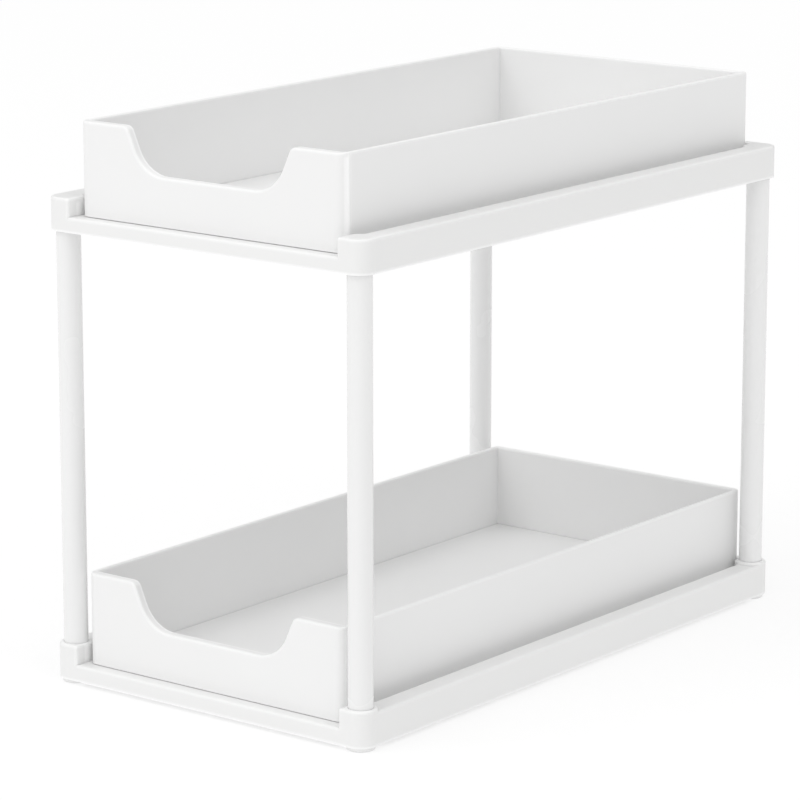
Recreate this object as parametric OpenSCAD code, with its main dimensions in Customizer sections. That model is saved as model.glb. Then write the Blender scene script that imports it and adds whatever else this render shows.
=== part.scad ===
// Two-tier sliding organizer for the space under a sink.
// Two moulded frames stand on four tube posts, and each frame carries a pull-out tray.
// X is the width, Y runs from the front (-) to the back (+), and Z is up.
// The origin is the centre of the footprint, on the surface that the feet stand on.

/* [Posts] */
// Distance between the centres of the left and right posts
post_span_x = 208; // [180:1:280]
// Distance between the centres of the front and back posts
post_span_y = 386; // [320:1:460]
// Rise from the lower frame's underside to the upper frame's underside
tier_pitch = 260; // [180:1:360]
// Outer diameter of a post tube
post_d = 14; // [12:0.5:16]
// Wall of a post tube
post_wall = 1.6; // [1.2:0.1:2.2]

/* [Feet] */
// Height of a foot below the lower frame
foot_h = 2.5; // [2:0.5:5]
// Diameter of a foot
foot_d = 16; // [14:0.5:18]
// Radius of the rounded rim under a foot
foot_edge_r = 0.8; // [0.4:0.1:1.2]
// Diameter of the stem that holds a foot in its socket
stem_d = 6; // [5:0.1:7]
// How much wider the stem's snap head is than the stem, on the diameter
stem_snap = 1; // [0.6:0.1:1.4]
// Height of the stem's snap head
stem_head_h = 3; // [2:0.5:5]

/* [Frames] */
// Height of the side and back rails
rail_h = 19.2; // [17:0.1:26]
// Width of a side rail
rail_w = 12.8; // [11:0.1:15]
// Thickness of the back rail
back_w = 4.9; // [4.5:0.1:7]
// Depth of the front sill, from front to back
sill_d = 14.2; // [12:0.1:18]
// Height of the lower frame's sill and tray ledges
lower_sill_h = 9.6; // [9:0.1:11]
// Height of the upper frame's sill and tray ledges
upper_sill_h = 8.6; // [8.4:0.1:11]
// Wall of the frame mouldings
frame_wall = 2.4; // [1.8:0.1:3]
// Wall of the narrow channel in the back rail
back_wall = 1.6; // [1.2:0.1:2]
// Radius of the outer upper edges and of the sockets' rims
edge_r = 1.5; // [1:0.1:1.6]
// Radius of the inner upper edges of the rails and the sill
inner_edge_r = 1; // [0.6:0.1:1.6]
// How far the rail faces lie inside the round of the sockets
face_inset = 0.25; // [0.15:0.05:0.5]
// Number of hollow bays under each side rail
side_bays = 7; // [4:1:10]
// Number of hollow bays under the sill and under the back rail
cross_bays = 4; // [2:1:6]
// Thickness of the webs between the bays
web_t = 1.8; // [1.4:0.1:2.4]

/* [Sockets] */
// Wall of a socket round its bore
socket_wall = 2.4; // [2:0.1:3]
// Radial clearance of a post in its bore
post_clear = 0.1; // [0.05:0.05:0.2]
// Thickness of the floor or cap that closes a socket
socket_end = 3; // [2:0.5:4]
// Distance from a post's centre to the flat side that faces the tray
flat_reach = 8.4; // [8.2:0.1:9.2]
// Radius of the upright front corner of the flat side
flat_r = 1.6; // [1.6:0.1:3]
// Rise of the open collars above the lower frame's rails
collar_h = 1.6; // [1:0.1:4]
// Clearance of a foot's stem in the socket floor, on the radius
stem_clear = 0.1; // [0.05:0.05:0.2]

/* [Tray ledges] */
// Width of the ledge inside each side rail
ledge_w = 20; // [14:1:26]
// Height of the guide rib that keeps a tray straight
guide_h = 3.2; // [2:0.2:5]
// Thickness of the guide rib
guide_t = 1.8; // [1.4:0.1:2.4]
// Clearance between a guide rib and the tray's side
guide_clear = 1.1; // [0.6:0.1:1.3]
// Width of the cross strip between the ledges
strip_w = 14; // [12:1:20]

/* [Trays] */
// Clearance between a tray and the flat side of a socket
tray_side_clear = 2.1; // [1.4:0.1:3]
// Clearance under a tray on its ledges
tray_lift = 0.3; // [0.2:0.05:0.6]
// Clearance between a tray's back and the back rail
tray_back_clear = 0.9; // [0.5:0.1:3]
// How far a tray's front stands before the front posts' centres
front_reach = 1.5; // [0:0.1:4]
// Height of a tray
tray_h = 53.5; // [46:0.5:80]
// Wall of a tray
tray_wall = 3; // [2.6:0.1:3.6]
// Floor of a tray
tray_floor = 2.4; // [2:0.1:3]
// Radius of the rounded rim of a tray
rim_r = 1.2; // [0.8:0.1:1.3]
// Inner radius of a tray's upright back corners
back_inner_r = 0.5; // [0.3:0.1:4]
// How far a tray slides out
travel = 190; // [120:5:200]

/* [Tray fronts] */
// Depth of the flange round the edge of a tray front
front_flange = 5; // [4:0.1:5.6]
// Thickness of the skin of a tray front
front_skin = 2.6; // [2:0.1:3]
// Width of the flange round the edge of a tray front
flange_w = 2.4; // [2.2:0.1:3]
// Radius of the front edge along the rim and the dip of a tray front
face_edge_r = 1.4; // [1:0.1:1.8]
// Outer radius of the upright corners of a tray front
front_corner_r = 6; // [5.8:0.1:6.4]
// Depth of a tray front, from its face to the seam in the side
front_depth = 6.5; // [6.4:0.1:8]
// Width of the seam between a tray front and the tray's side
seam_gap = 0.2; // [0.1:0.05:0.3]
// Thickness of the tongue that joins a tray to its front
tongue_t = 1; // [0.8:0.1:1.2]
// Length of that tongue
tongue_l = 2.4; // [2:0.1:2.6]
// Clearance round that tongue
tongue_clear = 0.1; // [0.05:0.05:0.15]

/* [Dip in the tray front] */
// Depth of the dip below the rim
dip_depth = 26; // [20:0.5:32]
// Length of the level stretch at the bottom of the dip
dip_flat = 64; // [40:1:90]
// Radius of the hollow curve at each side of the dip
dip_r = 22.5; // [16:0.5:23]
// Lean of the dip's sides from upright, in degrees
dip_lean = 24; // [18:1:32]
// Radius of the shoulder at each side of the dip
shoulder_r = 5; // [4:0.5:7]

/* [Stop lugs] */
// Depth of a stop lug below the tray's floor
lug_h = 3.2; // [2.4:0.1:3.4]
// Width of a stop lug
lug_w = 16; // [10:1:24]
// Thickness of a stop lug
lug_t = 4; // [3:0.5:6]
// Distance of each stop lug from the middle of the tray
lug_x = 58; // [30:1:62]
// Gap left between the lugs and the sill at full travel, and behind them when closed
stop_gap = 0.4; // [0.3:0.1:1]

/* [Hidden] */
$fn = 64;
plastic = "#f3f3f1";
tube = "#f1f1f0";
pad = "#ededeb";
over = 1;
bite = 0.5;

half_x = post_span_x / 2;
half_y = post_span_y / 2;
bore_d = post_d + 2 * post_clear;
socket_r = bore_d / 2 + socket_wall;
outer_x = half_x + socket_r - face_inset;
outer_y = half_y + socket_r - face_inset;
rail_in_x = outer_x - rail_w;
back_in_y = outer_y - back_w;
sill_in_y = -outer_y + sill_d;
flat_x = half_x - flat_reach;
ledge_in_x = rail_in_x - ledge_w;
guide_end_y = half_y - socket_r;
side_run = 2 * (half_y - socket_r - frame_wall);
cross_run = 2 * (flat_x - frame_wall);
strip_run = 2 * (ledge_in_x - frame_wall);

lower_z = foot_h;
upper_z = foot_h + tier_pitch;
stem_hole_d = stem_d + 2 * stem_clear;
post_z = lower_z + socket_end;
post_l = upper_z + rail_h - socket_end - post_z;

tray_x = flat_x - tray_side_clear;
tray_front_y = -half_y - front_reach;
tray_back_y = back_in_y - tray_back_clear;
seam_y = tray_front_y + front_depth;
tray_seam_y = seam_y + seam_gap;
back_corner_r = back_inner_r + tray_wall;
lower_tray_z = lower_z + lower_sill_h + tray_lift;
upper_tray_z = upper_z + upper_sill_h + tray_lift;
guide_x = tray_x + guide_clear;

lug_y = sill_in_y + stop_gap + travel;
strip_y = lug_y + lug_t + stop_gap;

flange_back_y = tray_front_y + front_flange;
corner_x = tray_x - front_corner_r;
corner_y = tray_front_y + front_corner_r;
flange_fill_y = corner_y - front_corner_r + tray_wall - bite;
tongue_x = tray_x - tray_wall / 2 - tongue_t / 2;
tongue_z = tray_floor / 2 - tongue_t / 2;
tongue_top_z = tray_h - 2 * rim_r;

dip_z = tray_h - dip_depth;
curve_x = dip_flat / 2;
curve_z = dip_z + dip_r;
side_start = [curve_x + dip_r * cos(dip_lean), curve_z - dip_r * sin(dip_lean)];
shoulder_z = tray_h - shoulder_r;
side_l = (shoulder_z - side_start[1] + shoulder_r * sin(dip_lean)) / cos(dip_lean);
side_end = side_start + side_l * [sin(dip_lean), cos(dip_lean)];
shoulder_x = side_end[0] + shoulder_r * cos(dip_lean);

// Points along the upper edge of a front, from the middle of its dip to its right corner,
// each with the direction in which the edge faces: [x, height, direction x, direction height]
edge_steps = 8;
edge_turn = (90 - dip_lean) / edge_steps;
edge_half = concat(
    [[0, dip_z, 0, 1]],
    [for (i = [0 : edge_steps]) let (d = [-sin(i * edge_turn), cos(i * edge_turn)])
        [curve_x - dip_r * d[0], curve_z - dip_r * d[1], d[0], d[1]]],
    [for (i = [edge_steps : -1 : 0]) let (d = [-sin(i * edge_turn), cos(i * edge_turn)])
        [shoulder_x + shoulder_r * d[0], shoulder_z + shoulder_r * d[1], d[0], d[1]]],
    [[corner_x, tray_h, 0, 1]]
);
edge_last = len(edge_half) - 1;
edge_path = concat(
    [for (i = [edge_last : -1 : 1]) [-edge_half[i][0], edge_half[i][1], -edge_half[i][2], edge_half[i][3]]],
    edge_half
);

// Section of the flange along that edge: [distance in from the edge, depth behind the face]
round_steps = 4;
flange_section = concat(
    [for (i = [0 : round_steps]) let (a = i * 90 / round_steps) face_edge_r * [1 - cos(a), 1 - sin(a)]],
    [[flange_w, 0], [flange_w, front_flange], [0, front_flange]]
);
skin_inset = (face_edge_r + flange_w) / 2;

// Sliver that lies outside the rounded upper left corner of a shape h high
module corner_waste(h, r) {
    translate([0, h - r]) difference() {
        square(r);
        translate([r, 0]) circle(r);
    }
}

// Rectangle from [0, 0] to [w, h] with a rounded upper left corner
module left_rounded(w, h, r) {
    difference() {
        square([w, h]);
        corner_waste(h, r);
    }
}

// The same rectangle with a rounded upper right corner
module right_rounded(w, h, r) {
    difference() {
        square([w, h]);
        translate([w, 0]) mirror([1, 0]) corner_waste(h, r);
    }
}

// The same rectangle with both upper corners rounded
module top_rounded(w, h, r_left, r_right) {
    difference() {
        left_rounded(w, h, r_left);
        translate([w, 0]) mirror([1, 0]) corner_waste(h, r_right);
    }
}

// Extrudes a profile along Y, with the profile's X across and its Y upright
module along_y(y0, y1) {
    translate([0, y1, 0]) rotate([90, 0, 0]) linear_extrude(y1 - y0) children();
}

// Extrudes a profile along X, with the profile's X pointing back and its Y upright
module along_x(x0, x1) {
    translate([x0, 0, 0]) rotate([90, 0, 90]) linear_extrude(x1 - x0) children();
}

module mirror_pair(axis) {
    children();
    mirror(axis) children();
}

module each_corner() {
    mirror_pair([1, 0, 0]) mirror_pair([0, 1, 0]) translate([half_x, -half_y, 0]) children();
}

// Row of hollow bays along X, open below, with webs between them
module bays(run, count, y0, width, height) {
    pitch = (run + web_t) / count;
    for (i = [0 : count - 1]) {
        translate([i * pitch - run / 2, y0, -over]) cube([pitch - web_t, width, height + over]);
    }
}

// Round body of a socket, cut off on the side that faces the tray
module socket_round(h) {
    intersection() {
        rotate_extrude() right_rounded(socket_r, h, edge_r);
        along_y(-socket_r - over, socket_r + over)
            translate([-flat_reach, 0]) left_rounded(2 * socket_r, h, edge_r);
    }
}

// Square front corner that carries the flat side of a socket forward to the sill's face
module socket_corner(h) {
    front = socket_r - face_inset;
    translate([-flat_reach + flat_r, -front + flat_r, 0]) rotate(180)
        rotate_extrude(angle = 90) right_rounded(flat_r, h, edge_r);
    along_y(-front + flat_r, 0) translate([-flat_reach, 0]) left_rounded(flat_r, h, edge_r);
    along_x(-flat_reach + flat_r, 0) translate([-front, 0]) left_rounded(front, h, edge_r);
}

// Ledge that carries one side of a tray, with the guide rib on it
module ledge(sill_h) {
    translate([ledge_in_x, sill_in_y - bite, 0])
        cube([ledge_w + bite, back_in_y - sill_in_y + 2 * bite, sill_h]);
    translate([guide_x, -guide_end_y, sill_h - bite])
        cube([guide_t, 2 * guide_end_y, guide_h + bite]);
}

// Hollows under one side rail and its ledge
module side_hollows(sill_h) {
    rotate(90) {
        bays(side_run, side_bays, frame_wall - outer_x, rail_w - 2 * frame_wall, rail_h - frame_wall);
        bays(side_run, side_bays, -rail_in_x, ledge_w - frame_wall, sill_h - frame_wall);
    }
}

// Solid form of a frame before it is hollowed
module frame_form(sill_h, socket_h) {
    each_corner() {
        socket_round(socket_h);
        socket_corner(socket_h);
    }
    mirror_pair([1, 0, 0]) {
        along_y(-half_y, half_y)
            translate([rail_in_x, 0]) top_rounded(rail_w, rail_h, inner_edge_r, edge_r);
        ledge(sill_h);
    }
    along_x(-half_x, half_x)
        translate([-outer_y, 0]) top_rounded(sill_d, sill_h, edge_r, inner_edge_r);
    along_x(-half_x, half_x)
        translate([back_in_y, 0]) top_rounded(back_w, rail_h, inner_edge_r, edge_r);
    translate([-ledge_in_x - bite, strip_y, 0]) cube([2 * (ledge_in_x + bite), strip_w, sill_h]);
}

// Frame moulding with a bore for each post from bore_z to bore_z + bore_h
module frame(sill_h, socket_h, bore_z, bore_h) {
    difference() {
        frame_form(sill_h, socket_h);
        each_corner() translate([0, 0, bore_z]) cylinder(d = bore_d, h = bore_h);
        mirror_pair([1, 0, 0]) side_hollows(sill_h);
        bays(cross_run, cross_bays, frame_wall - outer_y, sill_d - 2 * frame_wall, sill_h - frame_wall);
        bays(cross_run, cross_bays, back_in_y + back_wall, back_w - 2 * back_wall, rail_h - frame_wall);
        bays(strip_run, cross_bays, strip_y + frame_wall, strip_w - 2 * frame_wall, sill_h - frame_wall);
    }
}

module lower_frame() {
    socket_h = rail_h + collar_h;
    color(plastic) translate([0, 0, lower_z]) difference() {
        frame(lower_sill_h, socket_h, socket_end, socket_h - socket_end + over);
        each_corner() translate([0, 0, -over]) cylinder(d = stem_hole_d, h = socket_end + 2 * over);
    }
}

module upper_frame() {
    color(plastic) translate([0, 0, upper_z])
        frame(upper_sill_h, rail_h, -over, rail_h - socket_end + over);
}

module post(side_x, side_y) {
    color(tube) translate([side_x * half_x, side_y * half_y, post_z]) difference() {
        cylinder(d = post_d, h = post_l);
        translate([0, 0, -over]) cylinder(d = post_d - 2 * post_wall, h = post_l + 2 * over);
    }
}

module post_front_left() post(-1, -1);
module post_front_right() post(1, -1);
module post_back_left() post(-1, 1);
module post_back_right() post(1, 1);

// Disc foot whose stem passes through the socket's floor and snaps in above it
module foot(side_x, side_y) {
    neck_z = lower_z + socket_end + bite / 2;
    color(pad) translate([side_x * half_x, side_y * half_y, 0]) {
        translate([0, 0, foot_h]) mirror([0, 0, 1])
            rotate_extrude() right_rounded(foot_d / 2, foot_h, foot_edge_r);
        translate([0, 0, foot_h - bite]) cylinder(d = stem_d, h = neck_z - foot_h + bite);
        translate([0, 0, neck_z]) cylinder(d1 = stem_d + stem_snap, d2 = stem_d - stem_snap, h = stem_head_h);
    }
}

module foot_front_left() foot(-1, -1);
module foot_front_right() foot(1, -1);
module foot_back_left() foot(-1, 1);
module foot_back_right() foot(1, 1);

// Section of a tray's wall and the floor beside it, from the corner's axis outwards
module wall_section() {
    square([back_corner_r, tray_floor]);
    translate([back_inner_r, 0]) top_rounded(tray_wall, tray_h, rim_r, rim_r);
}

// Tongue along the sides and floor of a tray's open front, made larger all round by grow
module tongue(grow) {
    thick = tongue_t + 2 * grow;
    tip_y = tray_seam_y - tongue_l - grow;
    mirror_pair([1, 0, 0]) translate([tongue_x - grow, tip_y, tongue_z - grow])
        cube([thick, tray_seam_y + bite - tip_y, tongue_top_z - tongue_z + 2 * grow]);
    translate([-tongue_x - bite, tip_y, tongue_z - grow])
        cube([2 * (tongue_x + bite), tray_seam_y + bite - tip_y, thick]);
}

// Lug that meets the sill at full travel, with a slope behind it to ride in over the sill
module stop_lug() {
    along_x(lug_x - lug_w / 2, lug_x + lug_w / 2) polygon([
        [lug_y, bite], [lug_y, -lug_h], [lug_y + lug_t / 2, -lug_h],
        [lug_y + lug_t, -lug_h / 2], [lug_y + lug_t, bite]
    ]);
}

module tray(z) {
    side_x = tray_x - back_corner_r;
    back_y = tray_back_y - back_corner_r;
    color(plastic) translate([0, 0, z]) {
        translate([-side_x, tray_seam_y, 0]) cube([2 * side_x, back_y - tray_seam_y, tray_floor]);
        along_x(-side_x, side_x) translate([back_y, 0]) wall_section();
        mirror_pair([1, 0, 0]) {
            along_y(tray_seam_y, back_y) translate([side_x, 0]) wall_section();
            translate([side_x, back_y, 0]) rotate_extrude(angle = 90) wall_section();
            stop_lug();
        }
        tongue(0);
    }
}

module lower_tray() tray(lower_tray_z);
module upper_tray() tray(upper_tray_z);

// The next two modules draw a tray front seen from the front:
// X is the width, Y is the height, and Z = 0 is the front face.

// Flange swept along the rim and the dip of a tray front
module front_band() {
    n = len(flange_section);
    last = len(edge_path) - 1;
    polyhedron(
        points = [for (e = edge_path) for (f = flange_section)
            [e[0] - f[0] * e[2], e[1] - f[0] * e[3], -f[1]]],
        faces = concat(
            [for (j = [0 : last - 1]) for (k = [0 : n - 1])
                [j * n + k, (j + 1) * n + k, (j + 1) * n + (k + 1) % n, j * n + (k + 1) % n]],
            [[for (k = [0 : n - 1]) k], [for (k = [n - 1 : -1 : 0]) last * n + k]]
        )
    );
}

// Thin skin of a tray front, which ends inside the flange
module front_face() {
    translate([0, 0, -front_skin]) linear_extrude(front_skin) polygon(concat(
        [[corner_x, 0], [-corner_x, 0]],
        [for (e = edge_path) [e[0] - skin_inset * e[2], e[1] - skin_inset * e[3]]]
    ));
}

// Section of a tray front's upright corner and the floor beside it
module corner_section() {
    square([front_corner_r, tray_floor]);
    translate([front_corner_r - tray_wall, 0]) right_rounded(tray_wall, tray_h, rim_r);
}

// One rounded side of a tray front
module front_side() {
    translate([corner_x, corner_y, 0]) rotate(-90) rotate_extrude(angle = 90) corner_section();
    along_y(corner_y, seam_y) translate([corner_x, 0]) corner_section();
    along_x(corner_x - bite, corner_x)
        translate([tray_front_y, 0]) left_rounded(tray_wall, tray_h, rim_r);
    translate([corner_x, flange_fill_y, tray_h - flange_w])
        cube([front_corner_r - tray_wall, flange_back_y - flange_fill_y, flange_w]);
}

module tray_front(z) {
    color(plastic) translate([0, 0, z]) difference() {
        union() {
            translate([0, tray_front_y, 0]) rotate([90, 0, 0]) {
                front_face();
                front_band();
            }
            translate([-corner_x, tray_front_y, 0]) cube([2 * corner_x, front_depth, tray_floor]);
            mirror_pair([1, 0, 0]) front_side();
        }
        tongue(tongue_clear);
    }
}

module lower_tray_front() tray_front(lower_tray_z);
module upper_tray_front() tray_front(upper_tray_z);

lower_frame();
upper_frame();
post_front_left();
post_front_right();
post_back_left();
post_back_right();
foot_front_left();
foot_front_right();
foot_back_left();
foot_back_right();
lower_tray();
lower_tray_front();
upper_tray();
upper_tray_front();
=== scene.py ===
"""Looks for a two-tier organizer with sliding trays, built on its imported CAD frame."""

from __future__ import annotations

import logging
import math
from dataclasses import dataclass
from enum import Enum
from typing import Any, Callable

import bpy
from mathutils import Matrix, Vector

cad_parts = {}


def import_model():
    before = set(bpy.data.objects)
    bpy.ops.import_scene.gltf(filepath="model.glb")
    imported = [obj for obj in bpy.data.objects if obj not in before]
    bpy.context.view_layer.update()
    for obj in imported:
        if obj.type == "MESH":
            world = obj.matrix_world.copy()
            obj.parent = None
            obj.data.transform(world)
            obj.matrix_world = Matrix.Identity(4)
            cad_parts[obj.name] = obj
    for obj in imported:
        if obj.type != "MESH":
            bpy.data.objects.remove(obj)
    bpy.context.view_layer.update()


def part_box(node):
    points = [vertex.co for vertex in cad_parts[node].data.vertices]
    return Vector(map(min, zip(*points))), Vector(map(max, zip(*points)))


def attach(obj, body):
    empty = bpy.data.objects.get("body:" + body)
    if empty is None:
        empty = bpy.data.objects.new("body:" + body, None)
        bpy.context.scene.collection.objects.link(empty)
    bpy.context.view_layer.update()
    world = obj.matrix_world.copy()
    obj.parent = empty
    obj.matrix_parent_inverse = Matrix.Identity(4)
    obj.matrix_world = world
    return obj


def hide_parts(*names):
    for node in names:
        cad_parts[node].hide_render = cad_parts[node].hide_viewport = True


LOG = logging.getLogger("organizer")
MM = 0.001
MERGE_DISTANCE = 1e-6
SAME_LEVEL = 1e-5
SMOOTH_ANGLE = math.radians(32)
FLAT_FACE_WEIGHT = 90
RACK = "rack"
WHITE = (1.0, 1.0, 1.0, 1.0)


class Slot(Enum):
    """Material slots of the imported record."""

    FRAME = "frame_plastic"
    TRAY = "tray_plastic"
    POST = "post_plastic"
    FOOT = "foot_plastic"


class Side(Enum):
    """Left and right halves."""

    LEFT = "left"
    RIGHT = "right"


class End(Enum):
    """Front and back ends."""

    FRONT = "front"
    BACK = "back"


class Tier(Enum):
    """The two storage levels."""

    LOWER = "lower"
    UPPER = "upper"

    @property
    def drawer(self) -> str:
        """Name of the body that slides on this level."""
        return f"{self.value}_drawer"


class Pick(Enum):
    """What edit mode selects."""

    FACES = "FACE"
    EDGES = "EDGE"


class Value:
    """Wraps a shader socket, so that arithmetic on it adds Math nodes."""

    def __init__(self, graph: Graph, socket: bpy.types.NodeSocket) -> None:
        """Keeps the graph and the output socket."""
        self.graph = graph
        self.socket = socket

    def _math(self, operation: str, first: Any, second: Any) -> Value:
        """Adds one Math node.

        Args:
            operation: The Math node's operation.
            first: The first operand, a number or a Value.
            second: The second operand, a number or a Value.

        Returns:
            The node's result.
        """
        return self.graph.add(
            "ShaderNodeMath", {"operation": operation}, {0: first, 1: second}
        )

    def __add__(self, other: Any) -> Value:
        """Sum."""
        return self._math("ADD", self, other)

    def __radd__(self, other: Any) -> Value:
        """Reflected sum."""
        return self._math("ADD", other, self)

    def __sub__(self, other: Any) -> Value:
        """Difference."""
        return self._math("SUBTRACT", self, other)

    def __rsub__(self, other: Any) -> Value:
        """Reflected difference."""
        return self._math("SUBTRACT", other, self)

    def __mul__(self, other: Any) -> Value:
        """Product."""
        return self._math("MULTIPLY", self, other)

    def __rmul__(self, other: Any) -> Value:
        """Reflected product."""
        return self._math("MULTIPLY", other, self)

    def at_least(self, other: Any) -> Value:
        """Greater of the two."""
        return self._math("MAXIMUM", self, other)


class Graph:
    """Node tree of a material or a world."""

    MIX_FIRST = 6
    MIX_SECOND = 7
    MIX_RESULT = 2

    def __init__(self, tree: bpy.types.NodeTree) -> None:
        """Empties the tree."""
        self.tree = tree
        tree.nodes.clear()

    def add(
        self,
        kind: str,
        settings: dict[str, Any] | None = None,
        inputs: dict[Any, Any] | None = None,
        output: int | str = 0,
    ) -> Value:
        """Adds a node of any kind.

        Args:
            kind: The node's type.
            settings: Properties that are set before the inputs.
            inputs: Numbers, colours or Values for the named sockets.
            output: The socket that the returned Value wraps.

        Returns:
            The chosen output, wrapped, or the first input of an output node.
        """
        node = self.tree.nodes.new(kind)
        for name, value in (settings or {}).items():
            setattr(node, name, value)
        for key, value in (inputs or {}).items():
            if isinstance(value, Value):
                self.tree.links.new(value.socket, node.inputs[key])
            else:
                node.inputs[key].default_value = value
        if not node.outputs:
            return Value(self, node.inputs[0])
        return Value(self, node.outputs[output])

    def blend(self, factor: Value, first: Any, second: Any) -> Value:
        """Mixes two colours.

        Args:
            factor: The share of the second colour.
            first: A colour or a Value.
            second: A colour or a Value.

        Returns:
            The mixed colour.
        """
        return self.add(
            "ShaderNodeMix", {"data_type": "RGBA"},
            {"Factor": factor, self.MIX_FIRST: first, self.MIX_SECOND: second},
            self.MIX_RESULT,
        )

    def noise(self, place: Value, scale: float, detail: float, roughness: float) -> Value:
        """Adds a noise texture.

        Args:
            place: The coordinates.
            scale: The noise's scale.
            detail: The number of octaves.
            roughness: The strength of each finer octave.

        Returns:
            The noise's value.
        """
        return self.add(
            "ShaderNodeTexNoise", None,
            {"Vector": place, "Scale": scale, "Detail": detail, "Roughness": roughness},
        )

    def closeness(self, reach: float, **settings: Any) -> Value:
        """Measures how much of the near space is filled.

        Args:
            reach: The distance that is looked at, in metres.
            settings: Properties of the Ambient Occlusion node.

        Returns:
            Nought in the open, and more where surfaces are near.
        """
        occlusion = self.add(
            "ShaderNodeAmbientOcclusion", {"samples": 6, **settings}, {"Distance": reach}, "AO"
        )
        return 1.0 - occlusion


@dataclass(frozen=True)
class PlasticFinish:
    """White moulded plastic with a faint moulding texture, painted highlights on outer edges
    and painted shade in creases.
    """

    name: str
    tint: tuple[float, float, float]
    roughness: float
    grain_scale: float
    grain_depth: float
    coat: float = 0.0
    # Painted highlight: outer edges are lightened in the colour, standing in for light caught
    # by rounded edges.
    painted_highlight_reach: float = 1.8 * MM
    painted_highlight_gain: float = 2.0
    painted_highlight_colour: tuple[float, ...] = (0.99, 0.99, 0.99, 1.0)
    # Painted shade: lines where faces meet are darkened in the colour, standing in for shade
    # in creases.
    painted_shade_reach: float = 1.2 * MM
    painted_shade_gain: float = 0.6
    painted_shade_colour: tuple[float, ...] = (0.5, 0.5, 0.5, 1.0)
    cloud_scale: float = 14.0
    cloud_shade: float = 0.975
    roughness_swing: float = 0.06
    bump_strength: float = 0.25
    coat_roughness: float = 0.12
    ior: float = 1.46

    def material(self) -> bpy.types.Material:
        """Builds the finish as a procedural material.

        Returns:
            The new material.
        """
        made = bpy.data.materials.new(self.name)
        made.use_nodes = True
        graph = Graph(made.node_tree)
        place = graph.add("ShaderNodeTexCoord", output="Object")
        cloud = graph.noise(place, self.cloud_scale, 3.0, 0.5)
        grain = graph.noise(place, self.grain_scale, 2.0, 0.55)
        bump = graph.add(
            "ShaderNodeBump", None,
            {"Strength": self.bump_strength, "Distance": self.grain_depth, "Height": grain},
        )
        swing = self.roughness_swing
        shader = graph.add(
            "ShaderNodeBsdfPrincipled", None,
            {
                "Base Color": self._colour(graph, cloud),
                "Roughness": self.roughness - swing / 2 + cloud * swing,
                "Normal": bump,
                "IOR": self.ior,
                "Coat Weight": self.coat,
                "Coat Roughness": self.coat_roughness,
            },
        )
        graph.add("ShaderNodeOutputMaterial", None, {"Surface": shader})
        return made

    def _colour(self, graph: Graph, cloud: Value) -> Value:
        """Clouds the tint, paints highlights onto outer edges and paints shade into lines
        where faces meet.

        Args:
            graph: The material's graph.
            cloud: The broad noise.

        Returns:
            The colour of the plastic.
        """
        deep = tuple(self.cloud_shade * channel for channel in self.tint) + (1.0,)
        plain = graph.blend(cloud, deep, self.tint + (1.0,))
        # Painted highlight: lightens the colour near outer edges, where rounded edges would
        # catch light.
        edge = graph.closeness(self.painted_highlight_reach, inside=True, only_local=True)
        with_painted_highlight = graph.blend(edge * self.painted_highlight_gain, plain, self.painted_highlight_colour)
        # Painted shade: darkens the colour where faces meet, where shade falls in creases.
        painted_crease_shade = graph.closeness(self.painted_shade_reach)
        return graph.blend(painted_crease_shade * self.painted_shade_gain, with_painted_highlight, self.painted_shade_colour)


FINISHES = {
    Slot.FRAME: PlasticFinish("frame_white", (0.850, 0.850, 0.846), 0.36, 1500.0, 0.04 * MM),
    Slot.TRAY: PlasticFinish("tray_white", (0.872, 0.872, 0.870), 0.40, 1300.0, 0.04 * MM),
    Slot.POST: PlasticFinish(
        "post_white", (0.860, 0.860, 0.858), 0.27, 900.0, 0.02 * MM, 0.25, 0.6 * MM
    ),
    Slot.FOOT: PlasticFinish("foot_white", (0.830, 0.830, 0.822), 0.50, 1600.0, 0.05 * MM),
}


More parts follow.
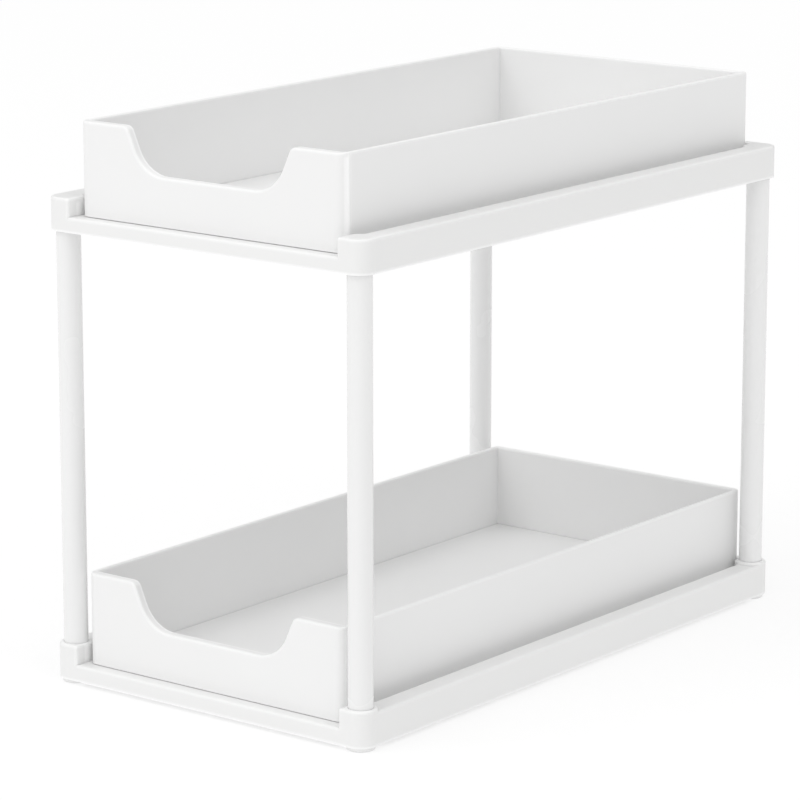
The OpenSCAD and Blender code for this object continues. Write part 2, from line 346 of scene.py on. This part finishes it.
@dataclass
class Assembly:
    """Base of every sub-assembly: the mesh tools they share."""

    materials: dict[Slot, bpy.types.Material]

    def build(self) -> list[bpy.types.Object]:
        """Builds the sub-assembly's pieces."""
        raise NotImplementedError

    def only(self, piece: bpy.types.Object) -> None:
        """Makes one object the only one selected, and active.

        Args:
            piece: The object.
        """
        bpy.ops.object.select_all(action="DESELECT")
        piece.select_set(True)
        bpy.context.view_layer.objects.active = piece

    def edit(self, piece: bpy.types.Object, work: Callable[[], Any]) -> None:
        """Runs operators on a piece in edit mode.

        Args:
            piece: The object to edit.
            work: The calls to make.
        """
        self.only(piece)
        bpy.ops.object.mode_set(mode="EDIT")
        work()
        bpy.ops.object.mode_set(mode="OBJECT")

    def clear_picks(self, piece: bpy.types.Object, pick: Pick) -> None:
        """Sets what edit mode selects, and selects nothing.

        Args:
            piece: The object, in object mode.
            pick: Faces or edges.
        """
        self.edit(piece, lambda: bpy.ops.mesh.select_mode(type=pick.value))
        self.edit(piece, lambda: bpy.ops.mesh.select_all(action="DESELECT"))

    def pick_faces(
        self, piece: bpy.types.Object, wanted: Callable[[bpy.types.MeshPolygon], bool]
    ) -> None:
        """Selects the faces that pass a test, and nothing else.

        Args:
            piece: The object, in object mode.
            wanted: The test.
        """
        self.clear_picks(piece, Pick.FACES)
        for face in piece.data.polygons:
            face.select = wanted(face)

    def pick_rims(
        self, piece: bpy.types.Object, heights: tuple[float, ...], axis: Vector, inner: float
    ) -> None:
        """Selects the level edges that run round a piece, and nothing else.

        Args:
            piece: The object, in object mode.
            heights: The heights at which the edges may lie.
            axis: A point on the piece's upright axis.
            inner: The distance from the axis that the edges exceed.
        """
        self.clear_picks(piece, Pick.EDGES)
        points = piece.data.vertices
        for edge in piece.data.edges:
            ends = [points[index].co for index in edge.vertices]
            level = any(
                all(abs(end.z - height) < SAME_LEVEL for end in ends) for height in heights
            )
            edge.select = level and all((end - axis).xy.length > inner for end in ends)

    def smooth(self, piece: bpy.types.Object) -> None:
        """Shades rounded edges smoothly and keeps flat faces flat.

        Args:
            piece: The object to shade.
        """
        self.only(piece)
        bpy.ops.object.shade_smooth_by_angle(angle=SMOOTH_ANGLE)
        bpy.ops.object.modifier_add(type="WEIGHTED_NORMAL")
        modifier = piece.modifiers[-1]
        modifier.keep_sharp = True
        modifier.weight = FLAT_FACE_WEIGHT
        bpy.ops.object.modifier_apply(modifier=modifier.name)

    def cylinder(
        self, name: str, facets: int, low: Vector, high: Vector, top: float
    ) -> bpy.types.Object:
        """Adds an upright cylinder that fills the foot of a box.

        Args:
            name: The new piece's name.
            facets: The number of sides.
            low: The box's lowest corner.
            high: The box's highest corner.
            top: The height at which the cylinder ends.

        Returns:
            The new object, at the origin, with its place in its mesh.
        """
        middle = (low + high) / 2
        middle.z = (low.z + top) / 2
        bpy.ops.object.select_all(action="DESELECT")
        bpy.ops.mesh.primitive_cylinder_add(
            vertices=facets, radius=(high.x - low.x) / 2, depth=top - low.z, location=middle
        )
        piece = bpy.context.view_layer.objects.active
        piece.name = piece.data.name = name
        bpy.ops.object.transform_apply(location=True, rotation=True, scale=True)
        return piece

    def from_solid(self, node: str, name: str) -> bpy.types.Object:
        """Copies a CAD node as a mesh whose triangles are joined up.

        Args:
            node: The CAD node.
            name: The new piece's name.

        Returns:
            The new object, at the origin.
        """
        self.only(bpy.data.objects[node])
        bpy.ops.object.duplicate(linked=False)
        piece = bpy.context.view_layer.objects.active
        piece.parent = None
        for key in [key for key in piece.keys() if key.startswith("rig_")]:
            del piece[key]
        piece.name = piece.data.name = name
        bpy.ops.mesh.customdata_custom_splitnormals_clear()

        def join_up() -> None:
            """Merges the loose triangles' shared points."""
            bpy.ops.mesh.select_all(action="SELECT")
            bpy.ops.mesh.remove_doubles(threshold=MERGE_DISTANCE)

        self.edit(piece, join_up)
        return piece

    def dress(
        self, piece: bpy.types.Object, slot: Slot, body: str, node: str
    ) -> bpy.types.Object:
        """Shades a piece, gives it its material and its body, and hides the CAD node that it
        replaces.

        Args:
            piece: The modelled piece.
            slot: The record's material slot.
            body: The CAD body that it rides on.
            node: The CAD node that it replaces.

        Returns:
            The finished piece.
        """
        self.smooth(piece)
        piece.data.materials.clear()
        piece.data.materials.append(self.materials[slot])
        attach(piece, body)
        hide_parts(node)
        return piece


@dataclass
class ShelfFrame(Assembly):
    """Moulded frame with D-shaped sockets, rails, a low sill and tray ledges."""

    tier: Tier

    def build(self) -> list[bpy.types.Object]:
        """Builds the frame of one level.

        Returns:
            The frame.
        """
        node = f"{self.tier.value}_frame"
        piece = self.from_solid(node, f"{node}_moulding")
        return [self.dress(piece, Slot.FRAME, RACK, node)]


@dataclass
class SlidingTray(Assembly):
    """Open tray and its separate dipped front, which slide as one drawer."""

    tier: Tier

    def build(self) -> list[bpy.types.Object]:
        """Builds the tray's body and its front.

        Returns:
            The two pieces.
        """
        tray = f"{self.tier.value}_tray"
        names = {tray: f"{tray}_shell", f"{tray}_front": f"{tray}_front_panel"}
        return [
            self.dress(self.from_solid(node, name), Slot.TRAY, self.tier.drawer, node)
            for node, name in names.items()
        ]


@dataclass
class PostTube(Assembly):
    """Plain tube that joins the two frames at one corner."""

    side: Side
    end: End
    wall: float = 1.6 * MM
    rim: float = 0.3 * MM
    rim_segments: int = 2
    facets: int = 96

    def build(self) -> list[bpy.types.Object]:
        """Models the tube from a cylinder, bored from end to end.

        Returns:
            The tube.
        """
        node = f"post_{self.end.value}_{self.side.value}"
        low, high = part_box(node)
        piece = self.cylinder(f"{node}_tube", self.facets, low, high, high.z)
        self.pick_faces(piece, lambda face: abs(face.normal.z) > 0.5)
        self.edit(piece, self._bore)
        inner = (high.x - low.x - self.wall) / 2
        self.pick_rims(piece, (low.z, high.z), (low + high) / 2, inner)
        self.edit(
            piece, lambda: bpy.ops.mesh.bevel(offset=self.rim, segments=self.rim_segments)
        )
        return [self.dress(piece, Slot.POST, RACK, node)]

    def _bore(self) -> None:
        """Insets both ends and joins the inner rings through the tube."""
        bpy.ops.mesh.inset(thickness=self.wall, use_individual=True)
        bpy.ops.mesh.bridge_edge_loops()


@dataclass
class DiscFoot(Assembly):
    """Disc foot with a stem that snaps into the socket's floor."""

    side: Side
    end: End
    disc_height: float = 2.5 * MM
    edge: float = 0.8 * MM
    edge_segments: int = 5
    stem_radius: float = 3.0 * MM
    head_radius: float = 3.5 * MM
    tip_radius: float = 2.5 * MM
    neck: float = 3.25 * MM
    facets: int = 64

    def build(self) -> list[bpy.types.Object]:
        """Models the foot from a disc: stem and snap head extruded, rim bevelled.

        Returns:
            The foot.
        """
        node = f"foot_{self.end.value}_{self.side.value}"
        low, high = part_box(node)
        piece = self.cylinder(f"{node}_pad", self.facets, low, high, self.disc_height)
        self.pick_faces(piece, lambda face: face.normal.z > 0.5)

        def stem() -> None:
            """Draws the stem up and shapes its head."""
            bpy.ops.mesh.inset(thickness=(high.x - low.x) / 2 - self.stem_radius)
            self._draw_up(self.neck, 1.0)
            self._draw_up(0.0, self.head_radius / self.stem_radius)
            head = high.z - self.disc_height - self.neck
            self._draw_up(head, self.tip_radius / self.head_radius)

        self.edit(piece, stem)
        self.pick_rims(piece, (low.z,), (low + high) / 2, self.stem_radius)
        self.edit(
            piece, lambda: bpy.ops.mesh.bevel(offset=self.edge, segments=self.edge_segments)
        )
        return [self.dress(piece, Slot.FOOT, RACK, node)]

    def _draw_up(self, rise: float, widen: float) -> None:
        """Extrudes the selected face upward and scales its end.

        Args:
            rise: The height of the new part.
            widen: The end's width against the start's.
        """
        bpy.ops.mesh.extrude_region_move(TRANSFORM_OT_translate={"value": (0.0, 0.0, rise)})
        bpy.ops.transform.resize(value=(widen, widen, 1.0))


@dataclass(frozen=True)
class SoftLamp:
    """Large disc of light that points at the organizer."""

    name: str
    place: tuple[float, float, float]
    power: float
    size: float = 1.4

    def build(self) -> None:
        """Adds the lamp to the scene."""
        data = bpy.data.lights.new(self.name, "AREA")
        data.shape = "DISK"
        data.size = self.size
        data.energy = self.power
        lamp = bpy.data.objects.new(self.name, data)
        lamp.location = self.place
        lamp.rotation_euler = (-Vector(self.place)).to_track_quat("-Z", "Y").to_euler()
        bpy.context.scene.collection.objects.link(lamp)


@dataclass
class Studio:
    """Pale floor, soft light and the camera at the photograph's angle."""

    camera_place: tuple[float, float, float] = (1.3559, -1.7655, 0.6517)
    camera_turn: float = 37.92
    camera_dip: float = 12.84
    focal_pixels: float = 3884.0
    frame_pixels: float = 800.0
    sensor: float = 36.0
    view_reach: float = 60.0
    floor_size: float = 24.0
    floor_colour: tuple[float, ...] = (0.35, 0.35, 0.35, 1.0)
    floor_roughness: float = 0.9
    floor_glow: float = 0.65
    sky_base: float = 0.276
    sky_overhead: float = 0.887
    sky_front: float = 0.433
    lamps: tuple[SoftLamp, ...] = (
        SoftLamp("front_left", (-0.9, -2.0, 2.2), 8.0),
        SoftLamp("right", (2.3, -0.6, 2.0), 6.1),
    )

    def build(self) -> None:
        """Sets up the picture's tones, the sky, the floor, the lamps and the camera."""
        view = bpy.context.scene.view_settings
        view.view_transform = "Standard"
        view.look = "None"
        self._sky()
        self._floor()
        for lamp in self.lamps:
            lamp.build()
        self._camera()

    def _sky(self) -> None:
        """Adds a sky that is brighter overhead and in front than behind."""
        world = bpy.data.worlds.new("soft_sky")
        bpy.context.scene.world = world
        world.use_nodes = True
        graph = Graph(world.node_tree)
        way = graph.add("ShaderNodeTexCoord", output="Generated")
        front = 0.0 - graph.add("ShaderNodeSeparateXYZ", None, {0: way}, "Y")
        overhead = graph.add("ShaderNodeSeparateXYZ", None, {0: way}, "Z")
        glow = (
            self.sky_base
            + overhead.at_least(0.0) * self.sky_overhead
            + front.at_least(0.0) * self.sky_front
        )
        sky = graph.add("ShaderNodeBackground", None, {"Color": WHITE, "Strength": glow})
        graph.add("ShaderNodeOutputWorld", None, {"Surface": sky})

    def _floor(self) -> None:
        """Adds a plain pale floor, far wider than the view."""
        bpy.ops.object.select_all(action="DESELECT")
        bpy.ops.mesh.primitive_plane_add(size=self.floor_size, location=(0.0, 0.0, 0.0))
        floor = bpy.context.view_layer.objects.active
        floor.name = "studio_floor"
        made = bpy.data.materials.new("pale_floor")
        made.use_nodes = True
        graph = Graph(made.node_tree)
        shader = graph.add(
            "ShaderNodeBsdfPrincipled", None,
            {
                "Base Color": self.floor_colour,
                "Roughness": self.floor_roughness,
                "Specular IOR Level": 0.0,
                "Emission Color": WHITE,
                "Emission Strength": self.floor_glow,
            },
        )
        graph.add("ShaderNodeOutputMaterial", None, {"Surface": shader})
        floor.data.materials.append(made)

    def _camera(self) -> None:
        """Adds the camera that was fitted to the edges in the photograph."""
        data = bpy.data.cameras.new("camera")
        data.sensor_width = self.sensor
        data.lens = self.focal_pixels / self.frame_pixels * self.sensor
        data.clip_end = self.view_reach
        camera = bpy.data.objects.new("camera", data)
        camera.location = self.camera_place
        camera.rotation_euler = (
            math.radians(90.0 - self.camera_dip), 0.0, math.radians(self.camera_turn)
        )
        bpy.context.scene.collection.objects.link(camera)
        bpy.context.scene.camera = camera


def main() -> None:
    logging.basicConfig(level=logging.INFO, format="%(message)s")
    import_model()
    materials = {slot: finish.material() for slot, finish in FINISHES.items()}
    Studio().build()
    assemblies: list[Assembly] = []
    for tier in Tier:
        assemblies += [ShelfFrame(materials, tier), SlidingTray(materials, tier)]
    for side in Side:
        for end in End:
            assemblies += [PostTube(materials, side, end), DiscFoot(materials, side, end)]
    for assembly in assemblies:
        for piece in assembly.build():
            LOG.info("%s: %d faces", piece.name, len(piece.data.polygons))
    bpy.ops.object.select_all(action="DESELECT")
    LOG.info("all pieces built")


if __name__ == "__main__":
    main()
